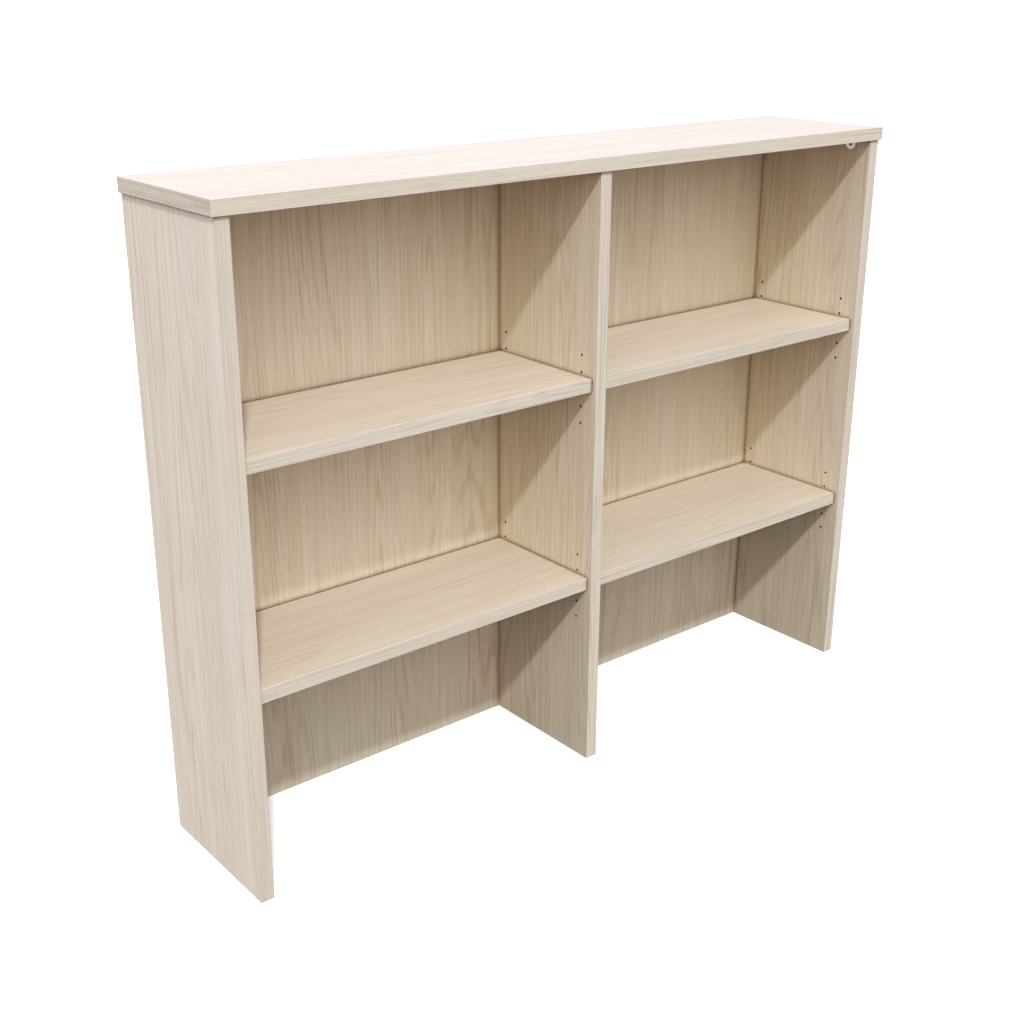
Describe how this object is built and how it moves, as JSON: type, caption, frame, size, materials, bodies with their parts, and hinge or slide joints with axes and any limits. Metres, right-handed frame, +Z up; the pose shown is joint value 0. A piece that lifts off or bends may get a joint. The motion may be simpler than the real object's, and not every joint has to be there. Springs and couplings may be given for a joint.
{
  "type": "desk hutch",
  "caption": "Open desk hutch in pale oak melamine: a top on side panels and a centre divider, back panels, and adjustable shelves resting on pins in rows of holes.",
  "frame": {"origin": "middle of the footprint, on the surface the hutch stands on", "axes": "+X to the right along the hutch, seen from the open front; +Y to its back; +Z up; the open front faces -Y"},
  "size_m": [1.5, 0.3, 1.165],
  "materials": {
    "board_upright": "pale oak melamine, grain upright, fine matt texture",
    "board_along_x": "pale oak melamine, grain along the board, fine matt texture",
    "edge_band": "pale oak edge band, grain along its length, rounded edges",
    "connector_plastic": "white moulded plastic",
    "zinc_cam": "die-cast zinc, satin",
    "zinc_steel": "bright zinc-plated steel",
    "dowel_wood": "bare beech"
  },
  "bodies": {
    "carcass": {"top_panel": "board_along_x", "top_front_edge_band": "edge_band", "top_rear_edge_band": "edge_band", "top_left_edge_band": "edge_band", "top_right_edge_band": "edge_band", "left_side": "board_upright", "left_side_front_edge_band": "edge_band", "left_side_rear_edge_band": "edge_band", "left_side_bottom_edge_band": "edge_band", "left_side_connector_housings": "connector_plastic", "centre_divider": "board_upright", "centre_divider_front_edge_band": "edge_band", "centre_divider_rear_edge_band": "edge_band", "centre_divider_bottom_edge_band": "edge_band", "centre_divider_connector_housings": "connector_plastic", "right_side": "board_upright", "right_side_front_edge_band": "edge_band", "right_side_rear_edge_band": "edge_band", "right_side_bottom_edge_band": "edge_band", "right_side_connector_housings": "connector_plastic", "left_back_panel": "board_upright", "left_back_bottom_edge_band": "edge_band", "left_back_connector_housings": "connector_plastic", "left_back_connecting_bolts": "zinc_steel", "left_back_dowels": "dowel_wood", "lower_left_shelf_supports": "zinc_steel", "upper_left_shelf_supports": "zinc_steel", "right_back_panel": "board_upright", "right_back_bottom_edge_band": "edge_band", "right_back_connector_housings": "connector_plastic", "right_back_connecting_bolts": "zinc_steel", "right_back_dowels": "dowel_wood", "lower_right_shelf_supports": "zinc_steel", "upper_right_shelf_supports": "zinc_steel", "top_connecting_bolts": "zinc_steel", "top_dowels": "dowel_wood"},
    "lower_left_shelf": {"lower_left_shelf": "board_along_x", "lower_left_shelf_edge_bands": "edge_band"},
    "lower_right_shelf": {"lower_right_shelf": "board_along_x", "lower_right_shelf_edge_bands": "edge_band"},
    "upper_left_shelf": {"upper_left_shelf": "board_along_x", "upper_left_shelf_edge_bands": "edge_band"},
    "upper_right_shelf": {"upper_right_shelf": "board_along_x", "upper_right_shelf_edge_bands": "edge_band"},
    "left_side_front_cam": {"left_side_front_cam": "zinc_cam"},
    "left_side_rear_cam": {"left_side_rear_cam": "zinc_cam"},
    "centre_divider_front_cam": {"centre_divider_front_cam": "zinc_cam"},
    "centre_divider_rear_cam": {"centre_divider_rear_cam": "zinc_cam"},
    "right_side_front_cam": {"right_side_front_cam": "zinc_cam"},
    "right_side_rear_cam": {"right_side_rear_cam": "zinc_cam"},
    "left_back_left_upper_cam": {"left_back_left_upper_cam": "zinc_cam"},
    "left_back_left_lower_cam": {"left_back_left_lower_cam": "zinc_cam"},
    "left_back_right_upper_cam": {"left_back_right_upper_cam": "zinc_cam"},
    "left_back_right_lower_cam": {"left_back_right_lower_cam": "zinc_cam"},
    "right_back_left_upper_cam": {"right_back_left_upper_cam": "zinc_cam"},
    "right_back_left_lower_cam": {"right_back_left_lower_cam": "zinc_cam"},
    "right_back_right_upper_cam": {"right_back_right_upper_cam": "zinc_cam"},
    "right_back_right_lower_cam": {"right_back_right_lower_cam": "zinc_cam"}
  },
  "joints": [
    {"name": "lower_left_shelf_pull_out", "type": "slide", "parent": "carcass", "child": "lower_left_shelf", "axis": [0, -1, 0], "range_m": [0, 0.29]},
    {"name": "lower_right_shelf_pull_out", "type": "slide", "parent": "carcass", "child": "lower_right_shelf", "axis": [0, -1, 0], "range_m": [0, 0.29]},
    {"name": "upper_left_shelf_pull_out", "type": "slide", "parent": "carcass", "child": "upper_left_shelf", "axis": [0, -1, 0], "range_m": [0, 0.29]},
    {"name": "upper_right_shelf_pull_out", "type": "slide", "parent": "carcass", "child": "upper_right_shelf", "axis": [0, -1, 0], "range_m": [0, 0.29]},
    {"name": "left_side_front_cam_turn", "type": "hinge", "parent": "carcass", "child": "left_side_front_cam", "pos_m": [-0.72, -0.097, 1.1305], "axis": [1, 0, 0], "range_deg": [0, 180]},
    {"name": "left_side_rear_cam_turn", "type": "hinge", "parent": "carcass", "child": "left_side_rear_cam", "pos_m": [-0.72, 0.09, 1.1305], "axis": [1, 0, 0], "range_deg": [0, 180]},
    {"name": "centre_divider_front_cam_turn", "type": "hinge", "parent": "carcass", "child": "centre_divider_front_cam", "pos_m": [0.0125, -0.097, 1.1305], "axis": [1, 0, 0], "range_deg": [0, 180]},
    {"name": "centre_divider_rear_cam_turn", "type": "hinge", "parent": "carcass", "child": "centre_divider_rear_cam", "pos_m": [0.0125, 0.09, 1.1305], "axis": [1, 0, 0], "range_deg": [0, 180]},
    {"name": "right_side_front_cam_turn", "type": "hinge", "parent": "carcass", "child": "right_side_front_cam", "pos_m": [0.72, -0.097, 1.1305], "axis": [-1, 0, 0], "range_deg": [0, 180]},
    {"name": "right_side_rear_cam_turn", "type": "hinge", "parent": "carcass", "child": "right_side_rear_cam", "pos_m": [0.72, 0.09, 1.1305], "axis": [-1, 0, 0], "range_deg": [0, 180]},
    {"name": "left_back_left_upper_cam_turn", "type": "hinge", "parent": "carcass", "child": "left_back_left_upper_cam", "pos_m": [-0.7105, 0.148, 1.04], "axis": [0, 1, 0], "range_deg": [0, 180]},
    {"name": "left_back_left_lower_cam_turn", "type": "hinge", "parent": "carcass", "child": "left_back_left_lower_cam", "pos_m": [-0.7105, 0.148, 0.1], "axis": [0, 1, 0], "range_deg": [0, 180]},
    {"name": "left_back_right_upper_cam_turn", "type": "hinge", "parent": "carcass", "child": "left_back_right_upper_cam", "pos_m": [-0.022, 0.148, 1.04], "axis": [0, 1, 0], "range_deg": [0, 180]},
    {"name": "left_back_right_lower_cam_turn", "type": "hinge", "parent": "carcass", "child": "left_back_right_lower_cam", "pos_m": [-0.022, 0.148, 0.1], "axis": [0, 1, 0], "range_deg": [0, 180]},
    {"name": "right_back_left_upper_cam_turn", "type": "hinge", "parent": "carcass", "child": "right_back_left_upper_cam", "pos_m": [0.022, 0.148, 1.04], "axis": [0, 1, 0], "range_deg": [0, 180]},
    {"name": "right_back_left_lower_cam_turn", "type": "hinge", "parent": "carcass", "child": "right_back_left_lower_cam", "pos_m": [0.022, 0.148, 0.1], "axis": [0, 1, 0], "range_deg": [0, 180]},
    {"name": "right_back_right_upper_cam_turn", "type": "hinge", "parent": "carcass", "child": "right_back_right_upper_cam", "pos_m": [0.7105, 0.148, 1.04], "axis": [0, 1, 0], "range_deg": [0, 180]},
    {"name": "right_back_right_lower_cam_turn", "type": "hinge", "parent": "carcass", "child": "right_back_right_lower_cam", "pos_m": [0.7105, 0.148, 0.1], "axis": [0, 1, 0], "range_deg": [0, 180]}
  ]
}
